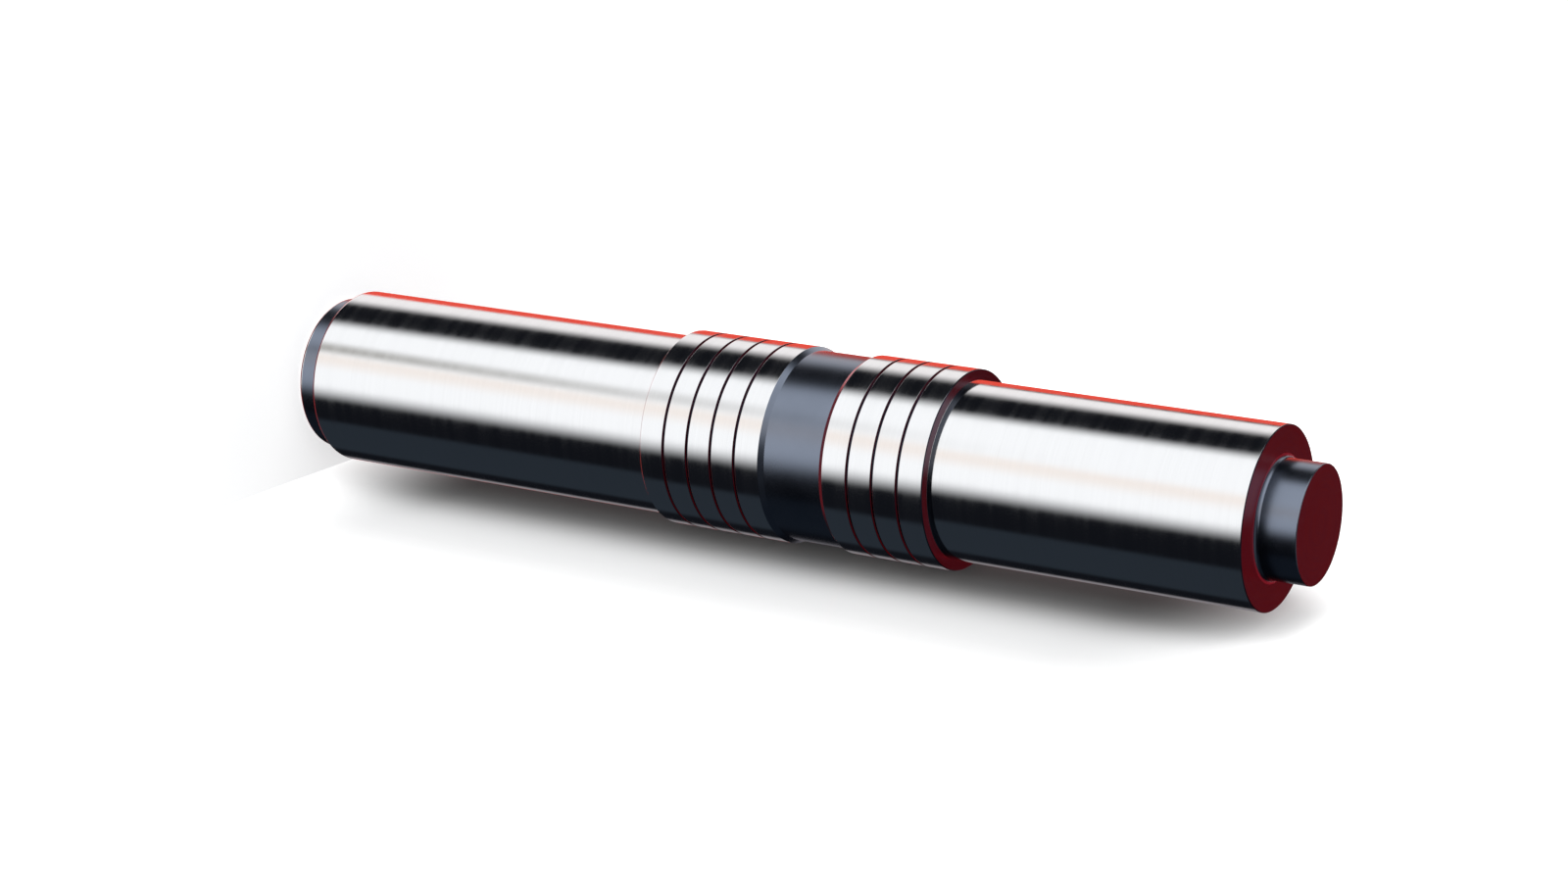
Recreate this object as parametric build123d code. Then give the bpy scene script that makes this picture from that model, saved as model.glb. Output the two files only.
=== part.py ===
from build123d import *

import os

# A stepped shaft turned and ground from one bar: the percussion piston of a hydraulic breaker.
# It stands on its striking end, with +Z along its axis and the origin at the centre of that face.
# All sizes are in millimetres and are listed in their order from the striking end to the tail.

# Striking end: the short spigot that hits the tool
strike_end_diameter = 88.5
strike_end_length = 14.0

# Lower rod, which runs in the lower seal bush
lower_rod_diameter = 100.0
lower_rod_length = 229.0

# Heads: ground lands that run in the cylinder bore, with an oil groove between each two
head_diameter = 108.0
land_pitch = 14.9
lower_head_grooves = 4
upper_head_grooves = 3
groove_width = 1.5
groove_depth = 1.2

# Neck: the relief between the heads, with a cone up to each
neck_depth = 2.0
neck_length = 33.8
neck_cone_length = 2.8

# Upper rod, which runs in the gas chamber's seal bush
upper_rod_diameter = 96.3
upper_rod_length = 174.8

# Tail: the short stub on the upper end
tail_diameter = 62.5
tail_length = 22.0
tail_root_radius = 2.2

# Edges
rim_chamfer = 0.8
edge_break = 0.4
groove_edge_break = 0.15

# Radii of the steps
strike_end_radius = strike_end_diameter / 2
lower_rod_radius = lower_rod_diameter / 2
head_radius = head_diameter / 2
neck_radius = head_radius - neck_depth
upper_rod_radius = upper_rod_diameter / 2
tail_radius = tail_diameter / 2

# Heights of the steps
lower_rod_start = strike_end_length
lower_head_start = lower_rod_start + lower_rod_length
lower_head_end = lower_head_start + (lower_head_grooves + 1) * land_pitch
neck_start = lower_head_end + neck_cone_length
neck_end = neck_start + neck_length
upper_head_start = neck_end + neck_cone_length
upper_head_end = upper_head_start + (upper_head_grooves + 1) * land_pitch
tail_start = upper_head_end + upper_rod_length
tail_end = tail_start + tail_length


def stepped_outline():
    """Half of the shaft's section with sharp corners, as (radius, height) points."""
    return make_face(
        Polyline(
            (0, 0),
            (strike_end_radius, 0),
            (strike_end_radius, lower_rod_start),
            (lower_rod_radius, lower_rod_start),
            (lower_rod_radius, lower_head_start),
            (head_radius, lower_head_start),
            (head_radius, lower_head_end),
            (neck_radius, neck_start),
            (neck_radius, neck_end),
            (head_radius, upper_head_start),
            (head_radius, upper_head_end),
            (upper_rod_radius, upper_head_end),
            (upper_rod_radius, tail_start),
            (tail_radius, tail_start),
            (tail_radius, tail_end),
            (0, tail_end),
            close=True,
        )
    )


def corner(section, radius, height):
    """The section's corner at a radius and a height."""
    return section.vertices().sort_by_distance((radius, height))[0]


def break_edges(section):
    """Chamfers the outer rims that are handled, and rounds the tail's root."""
    rims = (
        (strike_end_radius, 0),
        (lower_rod_radius, lower_rod_start),
    )
    section = chamfer([corner(section, *rim) for rim in rims], rim_chamfer)
    edges = (
        (head_radius, lower_head_start),
        (head_radius, upper_head_end),
        (upper_rod_radius, tail_start),
        (tail_radius, tail_end),
    )
    section = chamfer([corner(section, *edge) for edge in edges], edge_break)
    return fillet(corner(section, tail_radius, tail_start), tail_root_radius)


def groove_section(height):
    """What the grooving tool cuts from a head at one height, with the mouth's edges broken."""
    floor_radius = head_radius - groove_depth
    slot = Pos(floor_radius, height) * Rectangle(
        2 * groove_depth, groove_width, align=(Align.MIN, Align.CENTER)
    )
    half_width = groove_width / 2
    half_mouth = half_width + groove_edge_break
    mouth = make_face(
        Polyline(
            (head_radius, height - half_mouth),
            (head_radius, height + half_mouth),
            (head_radius - groove_edge_break, height + half_width),
            (head_radius - groove_edge_break, height - half_width),
            close=True,
        )
    )
    return slot + mouth


def cut_grooves(section, head_start, groove_count):
    """Cuts one head's grooves, one land apart."""
    for number in range(1, groove_count + 1):
        section -= groove_section(head_start + number * land_pitch)
    return section


def stepped_shaft():
    """The finished shaft, as one turned solid."""
    section = break_edges(stepped_outline())
    section = cut_grooves(section, lower_head_start, lower_head_grooves)
    section = cut_grooves(section, upper_head_start, upper_head_grooves)
    return revolve(Plane.XZ * section, axis=Axis.Z)


os.makedirs("parts", exist_ok=True)
shaft = stepped_shaft()
shaft.label = "stepped_shaft"
export_step(shaft, "parts/stepped_shaft.step")
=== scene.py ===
"""A stepped shaft, turned and ground from one bar of steel: the percussion piston of a hydraulic breaker.

The shaft stands on its striking end at the middle of the floor. Its length is along Z and sizes are in metres.
"""

import math

import bpy
from bpy.props import FloatProperty, FloatVectorProperty, IntProperty, PointerProperty
from mathutils import Matrix, Vector


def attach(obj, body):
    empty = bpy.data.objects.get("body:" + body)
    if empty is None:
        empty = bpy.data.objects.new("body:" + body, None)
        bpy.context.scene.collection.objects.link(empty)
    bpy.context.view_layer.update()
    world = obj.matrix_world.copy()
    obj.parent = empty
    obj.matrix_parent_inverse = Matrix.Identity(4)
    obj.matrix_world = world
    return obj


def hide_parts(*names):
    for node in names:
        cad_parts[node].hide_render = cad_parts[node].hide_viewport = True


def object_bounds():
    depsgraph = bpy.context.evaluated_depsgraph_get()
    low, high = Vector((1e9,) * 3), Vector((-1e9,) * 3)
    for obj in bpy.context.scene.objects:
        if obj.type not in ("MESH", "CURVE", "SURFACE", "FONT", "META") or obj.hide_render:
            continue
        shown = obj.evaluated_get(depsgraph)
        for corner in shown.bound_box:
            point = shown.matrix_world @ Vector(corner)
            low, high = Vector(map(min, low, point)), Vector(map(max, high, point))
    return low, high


bl_info = {
    "name": "Stepped Shaft",
    "version": (1, 0, 0),
    "blender": (4, 5, 0),
    "location": "3D View > Sidebar > Shaft",
    "description": "Turns a stepped shaft with two grooved heads and sets it in a small studio",
    "category": "Add Mesh",
}

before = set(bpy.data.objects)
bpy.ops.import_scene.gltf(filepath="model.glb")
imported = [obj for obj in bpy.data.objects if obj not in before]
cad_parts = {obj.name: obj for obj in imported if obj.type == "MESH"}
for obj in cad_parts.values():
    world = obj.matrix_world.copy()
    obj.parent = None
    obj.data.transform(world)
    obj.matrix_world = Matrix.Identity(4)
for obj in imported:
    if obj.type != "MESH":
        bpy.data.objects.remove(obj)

BODY = "root"
NODE = "stepped_shaft"
CAD_LOW, CAD_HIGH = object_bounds()

MM = 0.001
# The third finish is dark steel that paints shade on the grooves and on the faces that look towards the tail.
GROUND, BLACKENED, PAINTED_SHADE = 0, 1, 2  # the finishes, in the order of the shaft's material slots


# ---------------------------------------------------------------------------------------------------------------
# What a user may change
# ---------------------------------------------------------------------------------------------------------------


def length(name, description, default):
    return FloatProperty(
        name=name, description=description, default=default, min=0.0, precision=5, unit="LENGTH"
    )


def share(name, description, default):
    return FloatProperty(
        name=name, description=description, default=default, min=0.0, max=1.0, subtype="FACTOR"
    )


def colour(name, description, default):
    return FloatVectorProperty(
        name=name, description=description, default=default, size=3, min=0.0, soft_max=1.0, subtype="COLOR"
    )


def angle(name, description, degrees):
    return FloatProperty(
        name=name, description=description, default=math.radians(degrees), subtype="ANGLE"
    )


class ShaftSizes(bpy.types.PropertyGroup):
    """Diameters, lengths and edge sizes of the shaft, from the striking end to the tail"""

    strike_diameter: length("Strike End Diameter", "Short spigot that hits the tool", 88.5 * MM)
    strike_length: length("Strike End Length", "Length of the striking spigot", 14.0 * MM)
    lower_rod_diameter: length("Lower Rod Diameter", "Ground rod below the heads", 100.0 * MM)
    lower_rod_length: length("Lower Rod Length", "Length of the lower rod", 229.0 * MM)
    head_diameter: length("Head Diameter", "Diameter over the ground lands", 2 * CAD_HIGH.x)
    land_pitch: length("Land Pitch", "Distance from one oil groove to the next", 14.9 * MM)
    lower_head_grooves: IntProperty(
        name="Lower Head Grooves", description="Oil grooves in the lower head", default=4, min=0
    )
    upper_head_grooves: IntProperty(
        name="Upper Head Grooves", description="Oil grooves in the upper head", default=3, min=0
    )
    groove_width: length("Groove Width", "Width of an oil groove between its walls", 1.5 * MM)
    groove_depth: length("Groove Depth", "Depth of an oil groove below the lands", 1.2 * MM)
    neck_depth: length("Neck Depth", "How far the neck is below the lands", 2.0 * MM)
    neck_length: length("Neck Length", "Straight part of the neck", 33.8 * MM)
    neck_cone_length: length("Neck Cone Length", "Length of the cone from the neck up to each head", 2.8 * MM)
    upper_rod_diameter: length("Upper Rod Diameter", "Ground rod above the heads", 96.3 * MM)
    upper_rod_length: length("Upper Rod Length", "Length of the upper rod", 174.8 * MM)
    tail_diameter: length("Tail Diameter", "Plain stub at the top", 62.5 * MM)
    tail_length: length("Tail Length", "Length of the tail stub", 22.0 * MM)
    tail_root_radius: length("Tail Root Radius", "Fillet where the tail meets the rod", 2.2 * MM)
    rim_radius: length("Rim Radius", "Rounding of the two rims at the striking end", 2.0 * MM)
    edge_break: length("Edge Break", "Broken edge of every other rim", 0.4 * MM)
    groove_break: length("Groove Edge Break", "Broken edge of an oil groove's mouth", 0.15 * MM)
    ring_spacing: length("Ring Spacing", "Longest straight stretch between two rings of the mesh", 18.0 * MM)
    edge_softness: length("Edge Softness", "Width over which a sharp edge turns in the shading", 0.12 * MM)
    segments: IntProperty(
        name="Segments", description="Faces round the shaft", default=256, min=24, max=512
    )


class SteelFinish(bpy.types.PropertyGroup):
    """The ground steel of the rods and lands, the blackened steel of the rest, and dark steel that paints shade on the
    grooves and upper shoulders
    """

    ground_colour: colour("Ground Colour", "Bright steel of the rods and lands", (0.74, 0.74, 0.75))
    ground_roughness: share("Ground Roughness", "Roughness of the ground steel", 0.12)
    ground_variation: share("Ground Variation", "How much the roughness changes along the shaft", 0.05)
    grinding_depth: share("Grinding Depth", "Strength of the grinding lines", 0.015)
    black_colour: colour("Blackened Colour", "Blue-black steel of the ends, neck and grooves", (0.18, 0.205, 0.26))
    black_roughness: share("Blackened Roughness", "Roughness of the blackened steel", 0.25)
    black_variation: share("Blackened Variation", "How much that roughness changes", 0.05)
    turning_depth: share("Turning Depth", "Strength of the turning lines on the blackened steel", 0.10)
    # Broken edges lightened towards bare steel: partly wear, partly a painted glint along the edges.
    edge_wear_and_glint: share("Edge Wear And Glint", "How far broken edges are rubbed back to bare steel", 0.35)
    # Dark enough to paint the shade in the grooves and on the faces that look towards the tail.
    painted_shade_colour: colour("Painted Shade Colour", "Shade-painted steel of the grooves and upper shoulders", (0.030, 0.038, 0.060))
    painted_shade_roughness: share("Painted Shade Roughness", "Roughness of that steel", 0.35)


class Studio(bpy.types.PropertyGroup):
    """Camera, floor, standing panel and the light all round"""

    view_azimuth: angle("View Azimuth", "Camera's direction round the shaft", 27.4)
    view_elevation: angle("View Elevation", "Camera's height above the horizon", 29.56)
    view_roll: angle("View Roll", "Camera's roll about its own axis, which lays the shaft across the picture", 98.92)
    view_distance: length("View Distance", "From the camera to the point it looks at", 1.757)
    aim_height: length("Aim Height", "Height on the axis that the camera looks at", 0.302)
    focal_length: FloatProperty(
        name="Focal Length", description="Camera lens in millimetres", default=73.75, min=1.0
    )
    paper_colour: colour("Paper Colour", "White paper of the floor and the standing panel", (0.92, 0.92, 0.92))
    panel_azimuth: angle("Panel Azimuth", "Direction that the standing panel faces", 315.0)


# ---------------------------------------------------------------------------------------------------------------
# The turned outline
# ---------------------------------------------------------------------------------------------------------------


class Corner:
    """A corner of the half section, with the finish of the straight run that leads up to it.

    broken is the leg of the chamfer that breaks the corner, rounded is the radius that rounds it, and chamfer is
    the finish of either.
    """

    def __init__(self, radius, height, finish, broken=0.0, chamfer=GROUND, rounded=0.0):
        self.place = Vector((radius, height))
        self.finish = finish
        self.broken = broken
        self.chamfer = chamfer
        self.rounded = rounded


class Ring:
    """One circle of the mesh. finish is that of the faces below it, and edge is 1 on a broken edge."""

    def __init__(self, place, finish, edge=0.0):
        self.place = place
        self.finish = finish
        self.edge = edge


def groove(s, head_radius, height):
    """The four corners of one square-floored oil groove whose middle is at this height."""
    floor, half = head_radius - s.groove_depth, s.groove_width / 2
    # The groove's broken mouth, its walls and its floor take the dark finish: painted shade in the recess.
    return [
        Corner(head_radius, height - half, GROUND, broken=s.groove_break, chamfer=PAINTED_SHADE),
        Corner(floor, height - half, PAINTED_SHADE),
        Corner(floor, height + half, PAINTED_SHADE),
        Corner(head_radius, height + half, PAINTED_SHADE, broken=s.groove_break, chamfer=PAINTED_SHADE),
    ]


def head(s, start, grooves, first_cut, last_cut):
    """A head's outer corners from the height where it starts, with its oil grooves, and its top height."""
    radius, top = s.head_diameter / 2, start + (grooves + 1) * s.land_pitch
    corners = [Corner(radius, start, BLACKENED, broken=first_cut)]
    for number in range(1, grooves + 1):
        corners += groove(s, radius, start + number * s.land_pitch)
    # A broken top edge looks towards the tail and takes the dark finish as painted shade.
    corners.append(Corner(radius, top, GROUND, broken=last_cut, chamfer=PAINTED_SHADE))
    return corners, top


def shaft_corners(s):
    """The whole half section, from the middle of the strike face to the middle of the tail face."""
    strike, lower, upper = s.strike_diameter / 2, s.lower_rod_diameter / 2, s.upper_rod_diameter / 2
    neck, tail = s.head_diameter / 2 - s.neck_depth, s.tail_diameter / 2

    corners = [Corner(0.0, 0.0, BLACKENED), Corner(strike, 0.0, BLACKENED, rounded=s.rim_radius)]
    height = s.strike_length
    corners += [
        Corner(strike, height, BLACKENED),
        Corner(lower, height, BLACKENED, rounded=s.rim_radius),
    ]
    height += s.lower_rod_length
    corners.append(Corner(lower, height, GROUND))

    lower_head, height = head(s, height, s.lower_head_grooves, s.edge_break, 0.0)
    corners += lower_head
    height += s.neck_cone_length
    corners.append(Corner(neck, height, BLACKENED))
    height += s.neck_length
    corners.append(Corner(neck, height, BLACKENED))
    height += s.neck_cone_length
    upper_head, height = head(s, height, s.upper_head_grooves, 0.0, s.edge_break)
    corners += upper_head

    # The shoulder, the rod's end face with its broken edge, and the tail face look towards the tail and take the dark
    # finish as painted shade.
    corners.append(Corner(upper, height, PAINTED_SHADE))
    height += s.upper_rod_length
    corners += [
        Corner(upper, height, GROUND, broken=s.edge_break, chamfer=PAINTED_SHADE),
        Corner(tail, height, PAINTED_SHADE, chamfer=BLACKENED, rounded=s.tail_root_radius),
    ]
    height += s.tail_length
    corners += [
        Corner(tail, height, BLACKENED, broken=s.edge_break, chamfer=BLACKENED),
        Corner(0.0, height, PAINTED_SHADE),
    ]
    return corners


def rounding(corner, before, after, steps=10):
    """Points of the arc that rounds a square corner, from the run before it to the run after it."""
    into, out = (corner.place - before).normalized(), (after - corner.place).normalized()
    centre = corner.place + corner.rounded * (out - into)
    return [
        centre + corner.rounded * (math.sin(t) * into - math.cos(t) * out)
        for t in (math.pi / 2 * step / steps for step in range(steps + 1))
    ]


def shaft_rings(s):
    """Every ring of the mesh: the corners with their chamfers and fillet, and more rings along the runs."""
    corners = shaft_corners(s)
    rings = [Ring(corners[0].place, corners[0].finish)]

    def run_to(place, finish, edge=0.0):
        """A straight run with a ring close to each end, so that the shading turns only at the corner."""
        start = rings[-1].place
        size = (place - start).length
        soft = min(s.edge_softness, size / 4)
        count = max(1, math.ceil(size / s.ring_spacing))
        stops = [soft / size] + [n / count for n in range(1, count)] + [1 - soft / size]
        rings.extend(Ring(start.lerp(place, stop), finish) for stop in stops)
        rings.append(Ring(place, finish, edge))

    for before, corner, after in zip(corners, corners[1:], corners[2:]):
        if corner.rounded:
            arc = rounding(corner, before.place, after.place)
            run_to(arc[0], corner.finish)
            rings.extend(Ring(place, corner.chamfer) for place in arc[1:])
        elif corner.broken:
            into = (corner.place - before.place).normalized()
            out = (after.place - corner.place).normalized()
            run_to(corner.place - corner.broken * into, corner.finish, edge=1.0)
            run_to(corner.place + corner.broken * out, corner.chamfer, edge=1.0)
        else:
            run_to(corner.place, corner.finish)
    run_to(corners[-1].place, corners[-1].finish)
    return rings


def turn(name, rings, segments):
    """A closed mesh turned round Z. Its first and last rings are single points on the axis.

    Its points carry two values for the finishes: how far along the outline they are, and whether they lie on a broken
    edge.
    """
    ends, hoops = (rings[0], rings[-1]), rings[1:-1]
    turns = [math.tau * n / segments for n in range(segments)]
    points = [(0.0, 0.0, ends[0].place.y)]
    points += [
        (ring.place.x * math.cos(t), ring.place.x * math.sin(t), ring.place.y) for ring in hoops for t in turns
    ]
    points.append((0.0, 0.0, ends[1].place.y))

    def point(hoop, n):
        return 1 + hoop * segments + n % segments

    top, last = len(points) - 1, len(hoops) - 1
    faces = [(0, point(0, n + 1), point(0, n)) for n in range(segments)]
    finishes = [hoops[0].finish] * segments
    for hoop in range(last):
        faces += [
            (point(hoop, n), point(hoop, n + 1), point(hoop + 1, n + 1), point(hoop + 1, n))
            for n in range(segments)
        ]
        finishes += [hoops[hoop + 1].finish] * segments
    faces += [(point(last, n), point(last, n + 1), top) for n in range(segments)]
    finishes += [ends[1].finish] * segments

    mesh = bpy.data.meshes.new(name)
    mesh.from_pydata(points, [], faces)
    mesh.polygons.foreach_set("material_index", finishes)
    mesh.shade_smooth()

    along = [0.0]
    for lower, upper in zip(rings, rings[1:]):
        along.append(along[-1] + (upper.place - lower.place).length)
    for label, values in (("along", along), ("edge", [ring.edge for ring in rings])):
        spread = [values[0]] + [value for value in values[1:-1] for _ in turns] + [values[-1]]
        mesh.attributes.new(label, "FLOAT", "POINT").data.foreach_set("value", spread)
    mesh.validate()
    return mesh


# ---------------------------------------------------------------------------------------------------------------
# Node building
# ---------------------------------------------------------------------------------------------------------------


class Nodes:
    """A node tree with short ways to add and join its nodes."""

    def __init__(self, tree):
        self.tree = tree
        tree.nodes.clear()

    def add(self, kind, inputs=None, **settings):
        """A node with its settings, and its inputs set to plain values or joined to other nodes' outputs."""
        node = self.tree.nodes.new(kind)
        for key, value in settings.items():
            setattr(node, key, value)
        for key, value in (inputs or {}).items():
            self.feed(node.inputs[key], value)
        return node

    def feed(self, socket, value):
        if isinstance(value, bpy.types.NodeSocket):
            self.tree.links.new(value, socket)
        else:
            socket.default_value = value

    def maths(self, operation, *values):
        return self.add("ShaderNodeMath", dict(enumerate(values)), operation=operation).outputs[0]

    def ramp(self, value, low, high, to_low=0.0, to_high=1.0, smooth=True):
        """value carried from low..high to to_low..to_high, and held at the ends."""
        inputs = {"Value": value, "From Min": low, "From Max": high, "To Min": to_low, "To Max": to_high}
        kind = "SMOOTHSTEP" if smooth else "LINEAR"
        return self.add("ShaderNodeMapRange", inputs, interpolation_type=kind).outputs["Result"]

    def blend(self, factor, first, second):
        node = self.add("ShaderNodeMix", {"Factor": factor}, data_type="RGBA", clamp_factor=True)
        self.feed(node.inputs[6], first)
        self.feed(node.inputs[7], second)
        return node.outputs[2]

    def along(self, place, direction):
        """How far a place lies along a direction."""
        inputs = {0: place, 1: direction}
        return self.add("ShaderNodeVectorMath", inputs, operation="DOT_PRODUCT").outputs["Value"]

    def scaled(self, colour, factor):
        """A plain colour times a value that varies."""
        inputs = {0: colour, "Scale": factor}
        return self.add("ShaderNodeVectorMath", inputs, operation="SCALE").outputs["Vector"]

    def noise(self, vector, **inputs):
        names = {key.replace("_", " ").title(): value for key, value in inputs.items()}
        return self.add("ShaderNodeTexNoise", {"Vector": vector, **names}).outputs["Fac"]


def rgba(values, factor=1.0):
    return (*(value * factor for value in values), 1.0)


# ---------------------------------------------------------------------------------------------------------------
# Finishes
# ---------------------------------------------------------------------------------------------------------------


EDGE_ROUGHNESS = 0.08  # how much rougher a broken edge is than the ground steel beside it
MOTTLE_VARIATION = 0.06  # how far a random mottle carries the roughness up and down
GRINDING_STEP = 0.02 * MM
TURNING_STEP = 0.03 * MM


def lathe_vector(nodes, around, across):
    """Coordinates for marks that run round the shaft: slow round it, quick along its outline."""
    place = nodes.add("ShaderNodeTexCoord").outputs["Object"]
    split = nodes.add("ShaderNodeSeparateXYZ", {0: place}).outputs
    along = nodes.add("ShaderNodeAttribute", attribute_name="along").outputs["Fac"]
    parts = [
        nodes.maths("MULTIPLY", split["X"], around),
        nodes.maths("MULTIPLY", split["Y"], around),
        nodes.maths("MULTIPLY", along, across),
    ]
    return nodes.add("ShaderNodeCombineXYZ", dict(enumerate(parts))).outputs[0]


def new_material(name):
    material = bpy.data.materials.new(name)
    material.use_nodes = True
    return material, Nodes(material.node_tree)


def close_material(nodes, **inputs):
    """The steel's shader, with the given inputs, joined to the output."""
    names = {key.replace("_", " ").title(): value for key, value in inputs.items()}
    shader = nodes.add("ShaderNodeBsdfPrincipled", {"Metallic": 1.0, **names})
    nodes.add("ShaderNodeOutputMaterial", {"Surface": shader.outputs[0]})


def ground_steel(f):
    """Bright steel with fine grinding lines round it, a little cloudier in slow bands and rubbed at its edges."""
    material, nodes = new_material("ground_steel")
    lines = nodes.noise(lathe_vector(nodes, 9.0, 4200.0), scale=1.0, detail=3.0, roughness=0.65)
    bands = nodes.noise(lathe_vector(nodes, 5.0, 160.0), scale=1.0, detail=4.0, roughness=0.6)
    edge = nodes.add("ShaderNodeAttribute", attribute_name="edge").outputs["Fac"]

    tint = nodes.ramp(lines, 0.3, 0.7, 0.965, 1.02, smooth=False)
    base = nodes.scaled(f.ground_colour, tint)

    low, high = f.ground_roughness - f.ground_variation / 2, f.ground_roughness + f.ground_variation / 2
    rough = nodes.ramp(bands, 0.35, 0.65, low, high)
    rough = nodes.maths("ADD", rough, nodes.maths("MULTIPLY", edge, EDGE_ROUGHNESS))
    relief = nodes.add("ShaderNodeBump", {"Strength": f.grinding_depth, "Distance": GRINDING_STEP, "Height": lines})
    close_material(nodes, base_color=base, roughness=rough, normal=relief.outputs[0])
    return material


def blackened_steel(f):
    """Blue-black satin steel: turning lines round it, a cloudy bloom, and broken edges lightened towards bare steel, as
    wear and as a painted glint along them.

    The turning lines fade towards the axis, where they would be too close to tell apart.
    """
    material, nodes = new_material("blackened_steel")
    lines = nodes.noise(lathe_vector(nodes, 7.0, 2600.0), scale=1.0, detail=2.0, roughness=0.55)
    cloud = nodes.noise(lathe_vector(nodes, 30.0, 30.0), scale=1.0, detail=5.0, roughness=0.6)
    edge = nodes.add("ShaderNodeAttribute", attribute_name="edge").outputs["Fac"]

    base = nodes.blend(nodes.ramp(cloud, 0.3, 0.7), rgba(f.black_colour, 0.95), rgba(f.black_colour, 1.05))
    # Broken edges lighten patchily towards bare steel: wear, and a painted glint along them.
    wear_and_glint = nodes.maths("MULTIPLY", nodes.maths("MULTIPLY", edge, f.edge_wear_and_glint), nodes.ramp(cloud, 0.25, 0.6))
    base = nodes.blend(wear_and_glint, base, rgba(f.ground_colour, 0.8))

    low, high = f.black_roughness - f.black_variation / 2, f.black_roughness + f.black_variation / 2
    rough = nodes.ramp(cloud, 0.3, 0.7, low, high)
    place = nodes.add("ShaderNodeTexCoord").outputs["Object"]
    flat = nodes.add("ShaderNodeVectorMath", {0: place, 1: (1, 1, 0)}, operation="MULTIPLY").outputs[0]
    radius = nodes.add("ShaderNodeVectorMath", {0: flat}, operation="LENGTH").outputs["Value"]
    depth = nodes.ramp(radius, 0.004, 0.016, 0.0, f.turning_depth)
    relief = nodes.add("ShaderNodeBump", {"Strength": depth, "Distance": TURNING_STEP, "Height": lines})
    close_material(nodes, base_color=base, roughness=rough, normal=relief.outputs[0])
    return material


def painted_shade_steel(f):
    """Nearly black steel that paints the shade in an oil groove or on an upper shoulder, darker and lighter at random.
    """
    material, nodes = new_material("painted_shade_steel")
    mottle = nodes.noise(lathe_vector(nodes, 60.0, 900.0), scale=1.0, detail=3.0, roughness=0.6)
    base = nodes.blend(nodes.ramp(mottle, 0.3, 0.7), rgba(f.painted_shade_colour, 0.6), rgba(f.painted_shade_colour, 1.3))
    low, high = f.painted_shade_roughness - MOTTLE_VARIATION, f.painted_shade_roughness + MOTTLE_VARIATION
    rough = nodes.ramp(mottle, 0.3, 0.7, low, high)
    close_material(nodes, base_color=base, roughness=rough)
    return material


# ---------------------------------------------------------------------------------------------------------------
# Studio
# ---------------------------------------------------------------------------------------------------------------

# The studio's panels stand in a ring round the shaft. Their places are angles round it in degrees, growing clockwise
# as seen from above from a line 45 degrees clockwise of the X axis. Heights are those of a direction's unit vector.
WHITE_LEVEL = 1.3
ZERO_HEADING = -45.0
LEAN_FROM = -0.48  # the height at which a slanted band is at its own angles
ROOM = (0.0065, 0.0075, 0.0105)
STREAK_TINT = (0.51, 0.50, 0.47)
CEILING_TINT = (0.25, 0.26, 0.28)


class Band:
    """A soft-edged vertical panel of the studio, from one angle to another."""

    def __init__(self, start, start_soft, end, end_soft, tint=(0.0, 0.0, 0.0), level=1.0, slant=0.0):
        self.start, self.start_soft = start, start_soft
        self.end, self.end_soft = end, end_soft
        self.tint, self.level, self.slant = tint, level, slant


BANDS = [
    Band(-158, 3, -137, 4, (1.0, 0.94, 1.0), 0.18),  # low strip behind the standing panel
    Band(-111, 5, -55, 4, (0.018, 0.024, 0.032)),  # slate-blue curtain
    Band(-11, 13, 88, 9, (0.975, 0.99, 1.0), slant=26),  # the big white screen
    Band(23, 9, 38, 6, (0.93, 0.865, 0.815)),  # warm cloth across it
    Band(131, 10, 205, 5, (1.0, 0.975, 0.97), 0.86, slant=18),  # white screen at the back
]
STREAK = Band(41, 5, 53, 6)  # thin grey streak across the big screen, low down
BEHIND_RED = Band(158, 5, 240, 1)  # kept dark for the red cloths, but for a gap at the level of the back screen
BEHIND_STRIP = Band(-240, 1, -128, 4)  # kept dark above the low strip


def band_mask(nodes, turned, height, band):
    """1 within a band and 0 outside it; a slanted band moves round with the height."""
    at = turned
    if band.slant:
        at = nodes.maths("ADD", at, nodes.maths("MULTIPLY", nodes.maths("SUBTRACT", height, LEAN_FROM), -band.slant))
    rise = nodes.ramp(at, band.start - band.start_soft, band.start + band.start_soft)
    fall = nodes.ramp(at, band.end - band.end_soft, band.end + band.end_soft, 1.0, 0.0)
    return nodes.maths("MULTIPLY", rise, fall)


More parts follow.
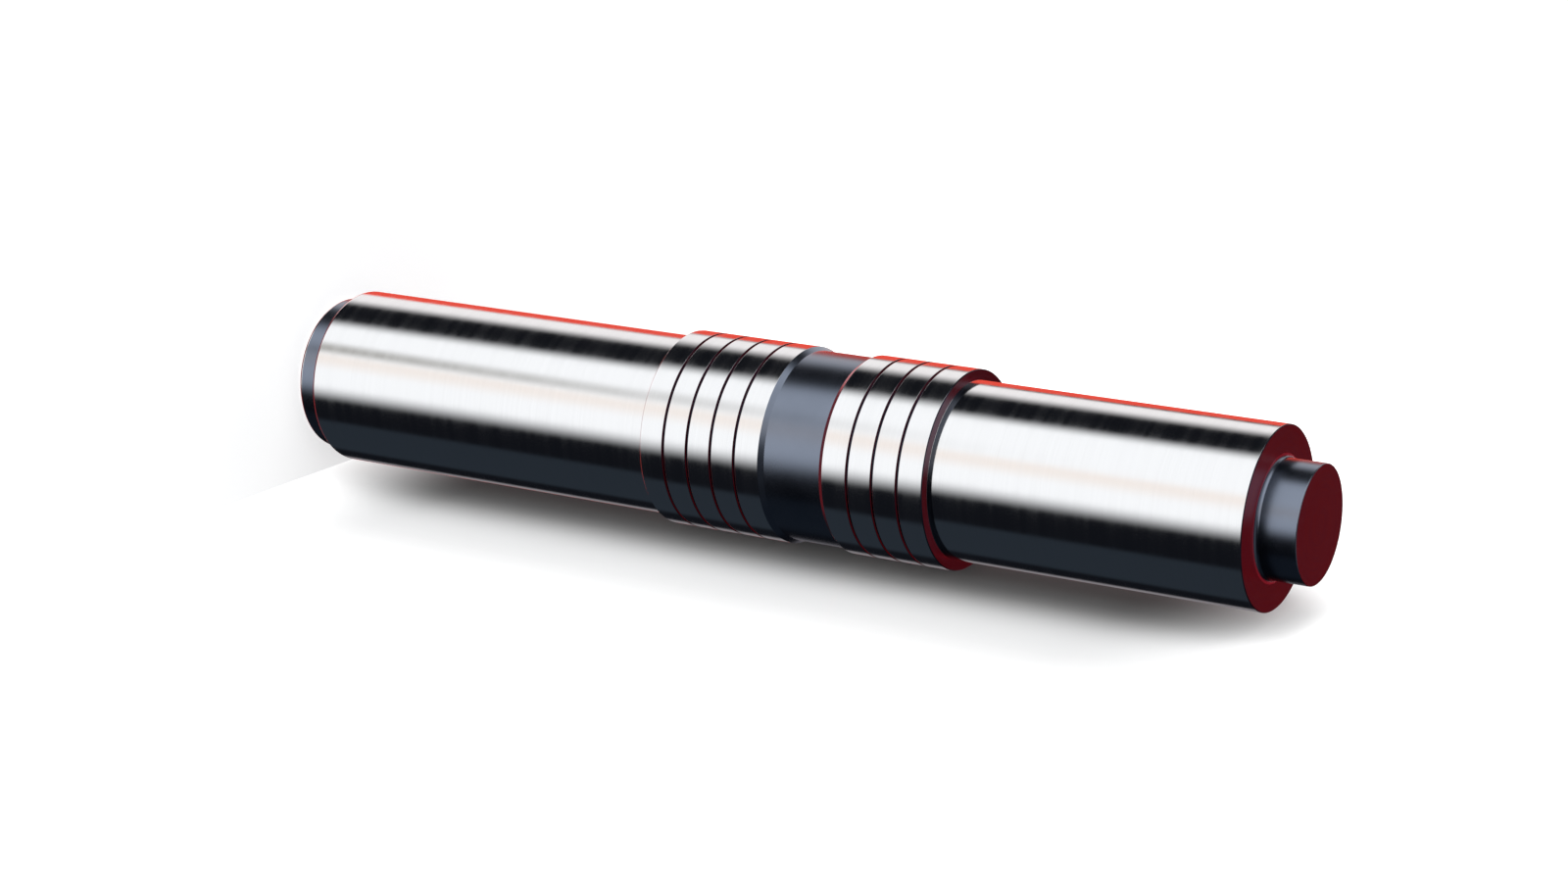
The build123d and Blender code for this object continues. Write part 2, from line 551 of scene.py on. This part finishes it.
def light_room():
    """The light all round: a dark room with the panels in it, and plain white for the camera."""
    world = bpy.data.worlds.new("studio")
    world.use_nodes = True
    nodes = Nodes(world.node_tree)
    bpy.context.scene.world = world

    way = nodes.add("ShaderNodeTexCoord").outputs["Generated"]
    split = nodes.add("ShaderNodeSeparateXYZ", {0: way}).outputs
    height = split["Z"]
    heading = nodes.maths("DEGREES", nodes.maths("ARCTAN2", split["Y"], split["X"]))
    turned = nodes.maths("WRAP", nodes.maths("SUBTRACT", ZERO_HEADING, heading), 200.0, -160.0)

    light = rgba(ROOM)
    for band in BANDS:
        mask = band_mask(nodes, turned, height, band)
        light = nodes.blend(mask, light, rgba(band.tint, WHITE_LEVEL * band.level))
    low_down = nodes.ramp(height, -0.62, -0.44, 1.0, 0.0, smooth=False)
    streak = nodes.maths("MULTIPLY", band_mask(nodes, turned, height, STREAK), low_down)
    light = nodes.blend(streak, light, rgba(STREAK_TINT))
    light = nodes.blend(nodes.ramp(height, 0.45, 0.95, 0.0, 0.75), light, rgba(CEILING_TINT))

    low, high = nodes.ramp(height, -0.34, -0.28, 1.0, 0.0), nodes.ramp(height, 0.02, 0.10)
    low_or_high = nodes.maths("ADD", low, high)
    behind_red = nodes.maths("MULTIPLY", band_mask(nodes, turned, height, BEHIND_RED), low_or_high)
    behind_strip = nodes.maths("MULTIPLY", band_mask(nodes, turned, height, BEHIND_STRIP), high)
    light = nodes.blend(nodes.maths("MAXIMUM", behind_red, behind_strip), light, rgba(ROOM))
    light = nodes.blend(nodes.ramp(height, -0.92, -0.75, 1.0, 0.0), light, rgba(ROOM))

    seen = nodes.add("ShaderNodeLightPath").outputs["Is Camera Ray"]
    room = nodes.add("ShaderNodeBackground", {"Color": light, "Strength": 1.0})
    plain = nodes.add("ShaderNodeBackground", {"Color": rgba((1, 1, 1)), "Strength": 1.0})
    both = nodes.add("ShaderNodeMixShader", {0: seen, 1: room.outputs[0], 2: plain.outputs[0]})
    nodes.add("ShaderNodeOutputWorld", {"Surface": both.outputs[0]})


def named_collection(name, *objects):
    """A collection outside the scene, which only says what a lamp lights or what shades it."""
    collection = bpy.data.collections.new(name)
    for obj in objects:
        collection.objects.link(obj)
    return collection


def hang_lamp(name, turned, elevation, size, radiance, lights, shaded_by, distance=6.0):
    """A soft square lamp far out in a direction of the studio, which lights and is shaded by given objects."""
    heading, elevation = math.radians(ZERO_HEADING - turned), math.radians(elevation)
    out = Vector(
        (math.cos(elevation) * math.cos(heading), math.cos(elevation) * math.sin(heading), math.sin(elevation))
    )
    data = bpy.data.lights.new(name, "AREA")
    data.shape = "RECTANGLE"
    data.size, data.size_y = (2 * distance * math.tan(math.radians(span) / 2) for span in size)
    brightest = max(radiance)
    data.color = [value / brightest for value in radiance]
    data.energy = math.pi * data.size * data.size_y * brightest
    lamp = bpy.data.objects.new(name, data)
    bpy.context.collection.objects.link(lamp)
    middle = Vector((0, 0, CAD_HIGH.z / 2))
    lamp.matrix_world = Matrix.LocRotScale(middle + distance * out, out.to_track_quat("Z", "Y"), None)
    lamp.visible_camera = False
    lamp.light_linking.receiver_collection = named_collection(name + "_lights", *lights)
    lamp.light_linking.blocker_collection = named_collection(name + "_shades", *shaded_by)
    return lamp


def camera_only(obj):
    """Stage paper is seen by the camera and takes the shaft's shadow, and isn't in the steel's reflections."""
    obj.visible_diffuse = False
    obj.visible_glossy = False
    obj.visible_transmission = False
    obj.visible_shadow = False


def panel_facing(studio):
    """The direction that the standing panel faces."""
    return Vector((math.sin(studio.panel_azimuth), -math.cos(studio.panel_azimuth), 0.0))


def lay_floor(studio):
    """A round sheet of white paper under the shaft. Its own white, a painted light, grows away from the foot so the
    shaft's shadow fades out with distance, and is full behind the panel, where it paints the shadow out.
    """
    radius, around = 6.0, 96
    turns = [math.tau * n / around for n in range(around)]
    points = [(0.0, 0.0, 0.0)] + [(radius * math.cos(t), radius * math.sin(t), 0.0) for t in turns]
    faces = [(0, 1 + n, 1 + (n + 1) % around) for n in range(around)]
    mesh = bpy.data.meshes.new("floor")
    mesh.from_pydata(points, [], faces)
    floor = bpy.data.objects.new("floor", mesh)
    bpy.context.collection.objects.link(floor)

    material, nodes = new_material("floor_paper")
    place = nodes.add("ShaderNodeTexCoord").outputs["Object"]
    away = nodes.add("ShaderNodeVectorMath", {0: place}, operation="LENGTH").outputs["Value"]
    behind = nodes.along(place, -panel_facing(studio))
    # Painted light: the glow grows away from the foot and is full behind the panel, washing the shaft's shadow out
    # there.
    own_white = nodes.maths("MAXIMUM", nodes.ramp(away, 0.05, 0.36, 0.66, 1.0), nodes.ramp(behind, 0.04, 0.07))
    paper_to_output(nodes, own_white, rgba(studio.paper_colour))
    mesh.materials.append(material)
    camera_only(floor)
    return floor


def paper_to_output(nodes, own_white, paper_colour, gloss=None, clear=None):
    """Paper with some white of its own for the camera: the rest is lit, so the shaft's shadow shows on it.

    Polished paper has a share of gloss, and is clear from behind and by its share of clear in front.
    """
    seen = nodes.add("ShaderNodeLightPath").outputs["Is Camera Ray"]
    lit = nodes.add("ShaderNodeBsdfDiffuse", {"Color": paper_colour}).outputs[0]
    glow = nodes.maths("MULTIPLY", seen, own_white)
    white = nodes.add("ShaderNodeEmission", {"Color": rgba((1, 1, 1)), "Strength": glow}).outputs[0]
    paper = nodes.add("ShaderNodeAddShader", {0: lit, 1: white}).outputs[0]
    if gloss is not None:
        mirror = nodes.add("ShaderNodeBsdfGlossy", {"Color": rgba((1, 1, 1)), "Roughness": 0.08}).outputs[0]
        paper = nodes.add("ShaderNodeMixShader", {0: gloss, 1: paper, 2: mirror}).outputs[0]
        nothing = nodes.add("ShaderNodeBsdfTransparent").outputs[0]
        hidden = nodes.maths("MAXIMUM", nodes.add("ShaderNodeNewGeometry").outputs["Backfacing"], clear)
        paper = nodes.add("ShaderNodeMixShader", {0: hidden, 1: paper, 2: nothing}).outputs[0]
    nodes.add("ShaderNodeOutputMaterial", {"Surface": paper})


def stand_panel(studio, shaft_radius, shaft_length):
    """A white panel that stands on the floor and touches the heads.

    It is clear from behind and at its edges. Its paper is darker and its own white is less close beside the shaft: a
    painted shadow that deepens the shaft's real shadow there. It is a little polished further out.
    """
    facing = panel_facing(studio)
    sideways = Vector((0, 0, 1)).cross(facing)  # to the right, as seen from in front of it
    left, right, top = -0.75, 0.55, 1.3
    corners = [(left, 0.0), (right, 0.0), (right, top), (left, top)]
    points = [-facing * shaft_radius + sideways * x + Vector((0, 0, z)) for x, z in corners]
    mesh = bpy.data.meshes.new("panel")
    mesh.from_pydata(points, [], [(0, 1, 2, 3)])
    panel = bpy.data.objects.new("panel", mesh)
    bpy.context.collection.objects.link(panel)

    material, nodes = new_material("panel_paper")
    place = nodes.add("ShaderNodeTexCoord").outputs["Object"]
    across = nodes.along(place, sideways)
    height = nodes.along(place, (0, 0, 1))
    beyond = nodes.maths("MAXIMUM", nodes.maths("SUBTRACT", height, shaft_length), 0.0)
    squares = nodes.maths("ADD", nodes.maths("POWER", across, 2.0), nodes.maths("POWER", beyond, 2.0))
    reach = nodes.maths("SQRT", squares)

    # The painted shadow lies beside the shaft and fades out towards its foot and beyond its tail.
    above_foot = nodes.ramp(height, 0.0, 0.10, 0.22, 1.0)
    below_tail = nodes.ramp(height, shaft_length - 0.10, shaft_length + 0.05, 1.0, 0.0)
    beside = nodes.maths("MULTIPLY", above_foot, below_tail)
    # Painted shadow: the paper's colour is darker near the line of contact.
    shade = nodes.maths("MULTIPLY", beside, nodes.ramp(reach, 0.02, 0.09, 0.75, 0.0))
    close = nodes.maths("SUBTRACT", 1.0, shade)
    # Painted shadow: the paper's own white is less further out from the shaft.
    painted_shadow_dim = nodes.maths("MULTIPLY", beside, nodes.ramp(reach, 0.04, 0.24, 0.90, 0.0))
    own_white = nodes.maths("MULTIPLY", nodes.maths("SUBTRACT", 1.0, painted_shadow_dim), close)

    aside = nodes.maths("ABSOLUTE", across)
    gloss = nodes.maths("MULTIPLY", nodes.ramp(aside, 0.03, 0.09, 0.0, 0.22), nodes.ramp(aside, 0.09, 0.34, 1.0, 0.0))
    clear = nodes.ramp(reach, 0.34, 0.52)
    paper_to_output(nodes, own_white, nodes.scaled(studio.paper_colour, close), gloss, clear)
    mesh.materials.append(material)
    camera_only(panel)
    return panel


def light_red(shaft, floor, panel):
    """Red cloths behind, below and above the shaft, a card for the panel's polish, and a lamp for its shadow."""
    hang_lamp("red_cloth", 182, -36, (38, 38), (0.92, 0.085, 0.050), [shaft], [floor])
    hang_lamp("red_cloth_below", 197, -80, (60, 50), (0.30, 0.014, 0.016), [shaft], [floor])
    hang_lamp("dim_red_cloth", 197, 26, (54, 46), (0.66, 0.022, 0.036), [shaft], [floor])
    card = hang_lamp("white_card", 172, -28, (44, 40), (0.95, 0.95, 0.95), [panel], [shaft])
    card.visible_diffuse = False
    shade = hang_lamp("shadow_lamp", 90, 10, (30, 30), (2.4, 2.4, 2.4), [panel], [shaft])
    shade.visible_glossy = False


def set_camera(studio):
    """The camera looks down at the shaft from beside it, rolled so that the shaft lies across the picture."""
    azimuth, elevation = studio.view_azimuth, studio.view_elevation
    back = Vector(
        (math.sin(azimuth) * math.cos(elevation), -math.cos(azimuth) * math.cos(elevation), math.sin(elevation))
    )
    right = Vector((0, 0, 1)).cross(back).normalized()
    upright = Matrix((right, back.cross(right), back)).transposed()
    data = bpy.data.cameras.new("camera")
    data.lens = studio.focal_length
    camera = bpy.data.objects.new("camera", data)
    bpy.context.collection.objects.link(camera)
    turn_in_picture = Matrix.Rotation(studio.view_roll, 3, "Z")
    camera.matrix_world = Matrix.LocRotScale(
        Vector((0, 0, studio.aim_height)) + studio.view_distance * back, upright @ turn_in_picture, None
    )
    bpy.context.scene.camera = camera
    bpy.context.scene.view_settings.view_transform = "Standard"


# ---------------------------------------------------------------------------------------------------------------
# Operators, panel and registration
# ---------------------------------------------------------------------------------------------------------------


class SHAFT_OT_turn(bpy.types.Operator):
    """Turn the shaft, give it its three finishes, and let it stand for the CAD node"""

    bl_idname = "shaft.turn"
    bl_label = "Turn Shaft"
    bl_options = {"REGISTER", "UNDO"}

    def execute(self, context):
        sizes, finish = context.scene.shaft_sizes, context.scene.shaft_finish
        mesh = turn("turned_shaft", shaft_rings(sizes), sizes.segments)
        mesh.materials.append(ground_steel(finish))
        mesh.materials.append(blackened_steel(finish))
        mesh.materials.append(painted_shade_steel(finish))
        shaft = bpy.data.objects.new("turned_shaft", mesh)
        context.collection.objects.link(shaft)
        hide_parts(NODE)
        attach(shaft, BODY)
        return {"FINISHED"}


class SHAFT_OT_stage(bpy.types.Operator):
    """Lay the floor, stand the panel, light the room and set the camera"""

    bl_idname = "shaft.stage"
    bl_label = "Set Stage"
    bl_options = {"REGISTER", "UNDO"}

    def execute(self, context):
        studio, sizes = context.scene.shaft_studio, context.scene.shaft_sizes
        floor = lay_floor(studio)
        panel = stand_panel(studio, sizes.head_diameter / 2, CAD_HIGH.z)
        light_room()
        light_red(bpy.data.objects["turned_shaft"], floor, panel)
        set_camera(studio)
        return {"FINISHED"}


class SHAFT_PT_panel(bpy.types.Panel):
    """The shaft's sizes, finishes and studio"""

    bl_idname = "SHAFT_PT_panel"
    bl_label = "Stepped Shaft"
    bl_space_type = "VIEW_3D"
    bl_region_type = "UI"
    bl_category = "Shaft"

    def draw(self, context):
        scene = context.scene
        for group, title, operator in (
            (scene.shaft_sizes, "Sizes", SHAFT_OT_turn),
            (scene.shaft_finish, "Finishes", None),
            (scene.shaft_studio, "Studio", SHAFT_OT_stage),
        ):
            box = self.layout.box()
            box.label(text=title)
            for name in group.__annotations__:
                box.prop(group, name)
            if operator:
                box.operator(operator.bl_idname)


CLASSES = (ShaftSizes, SteelFinish, Studio, SHAFT_OT_turn, SHAFT_OT_stage, SHAFT_PT_panel)


def register():
    for cls in CLASSES:
        bpy.utils.register_class(cls)
    bpy.types.Scene.shaft_sizes = PointerProperty(type=ShaftSizes)
    bpy.types.Scene.shaft_finish = PointerProperty(type=SteelFinish)
    bpy.types.Scene.shaft_studio = PointerProperty(type=Studio)


def unregister():
    del bpy.types.Scene.shaft_studio
    del bpy.types.Scene.shaft_finish
    del bpy.types.Scene.shaft_sizes
    for cls in reversed(CLASSES):
        bpy.utils.unregister_class(cls)


def main():
    register()
    bpy.ops.shaft.turn()
    bpy.ops.shaft.stage()


if __name__ == "__main__":
    main()
